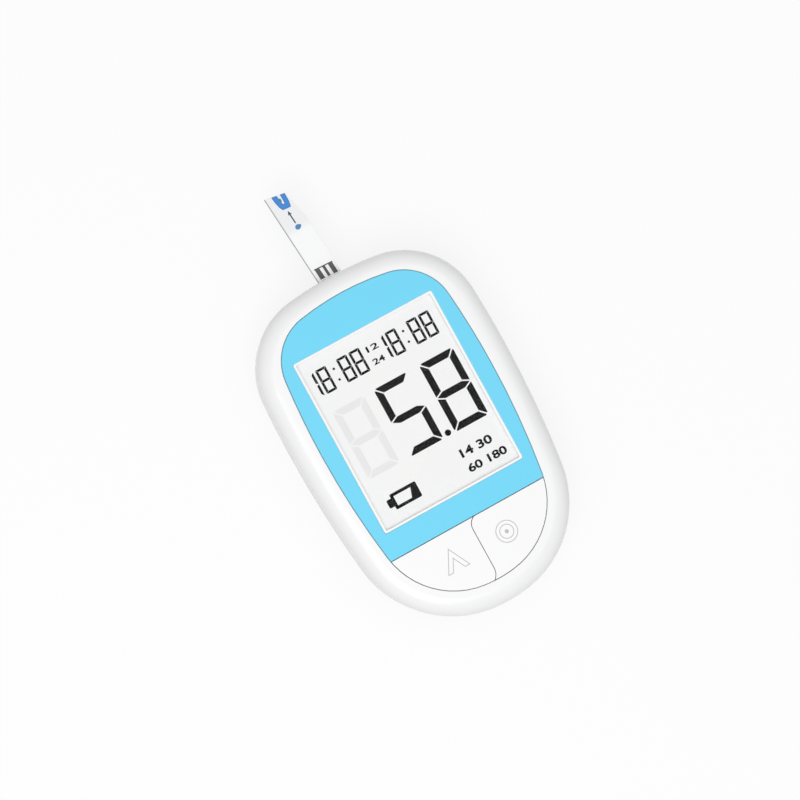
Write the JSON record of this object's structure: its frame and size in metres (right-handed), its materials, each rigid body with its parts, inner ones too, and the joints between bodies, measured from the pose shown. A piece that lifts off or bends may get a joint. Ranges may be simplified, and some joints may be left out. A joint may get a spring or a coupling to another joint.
{
  "type": "blood glucose meter",
  "caption": "Palm-sized oval blood glucose meter with a segment display, two shaped keys, a strip port with a test strip, and a battery door in the back.",
  "frame": {"origin": "centre of the flat back face of the housing, which is also the door's outer face", "axes": "+Z out of the display, +Y along the meter towards the strip port, +X to the right as the display is read"},
  "size_m": [0.0586, 0.1137, 0.0206],
  "materials": {
    "white_shell": "satin gloss, moulded",
    "blue_panel": "printed light blue, smooth",
    "adhesive": "double-sided film",
    "clear_window": "clear hard-coated acrylic",
    "display_glass": "grey reflective display with a matt polariser",
    "white_frame": "moulded",
    "conductive_rubber": "layered elastomer",
    "white_keys": "satin, moulded",
    "switch_case": "moulded",
    "switch_plunger": "moulded",
    "green_board": "solder mask",
    "black_case": "moulded",
    "gold_contacts": "gold-plated spring strip",
    "strip_film": "laminated film, white with a pale blue-grey end",
    "cell_jacket": "lacquered can with bare ends",
    "spring_steel": "nickel-plated",
    "screw_steel": "zinc-plated"
  },
  "bodies": {
    "housing": {"front_housing": "white_shell", "rear_housing": "white_shell", "face_panel": "blue_panel", "panel_adhesive": "adhesive", "display_window": "clear_window", "lcd_glass": "display_glass", "lcd_holder": "white_frame", "zebra_connector": "conductive_rubber", "left_switch": "switch_case", "right_switch": "switch_case", "main_board": "green_board", "controller_chip": "black_case", "buzzer": "black_case", "strip_port": "black_case", "strip_contacts": "gold_contacts", "battery_cell_left": "cell_jacket", "battery_cell_right": "cell_jacket", "battery_springs": "spring_steel", "battery_plates": "spring_steel", "housing_screws": "screw_steel", "board_screws": "screw_steel"},
    "left_key": {"left_key": "white_keys", "left_plunger": "switch_plunger"},
    "right_key": {"right_key": "white_keys", "right_plunger": "switch_plunger"},
    "battery_door": {"battery_door": "white_shell"},
    "test_strip": {"test_strip": "strip_film"}
  },
  "joints": [
    {"name": "left_key_press", "type": "slide", "parent": "housing", "child": "left_key", "axis": [0, 0, -1], "range_m": [0, 0.0005], "stiffness_N_per_m": 2000, "springref_m": -0.0001},
    {"name": "right_key_press", "type": "slide", "parent": "housing", "child": "right_key", "axis": [0, 0, -1], "range_m": [0, 0.0005], "stiffness_N_per_m": 2000, "springref_m": -0.0001},
    {"name": "strip_slide", "type": "slide", "parent": "housing", "child": "test_strip", "axis": [-0.0767, 0.9971, 0], "range_m": [0, 0.0084]},
    {"name": "door_hinge", "type": "hinge", "parent": "housing", "child": "battery_door", "pos_m": [0, -0.031, 0], "axis": [-1, 0, 0], "range_deg": [0, 75]}
  ]
}
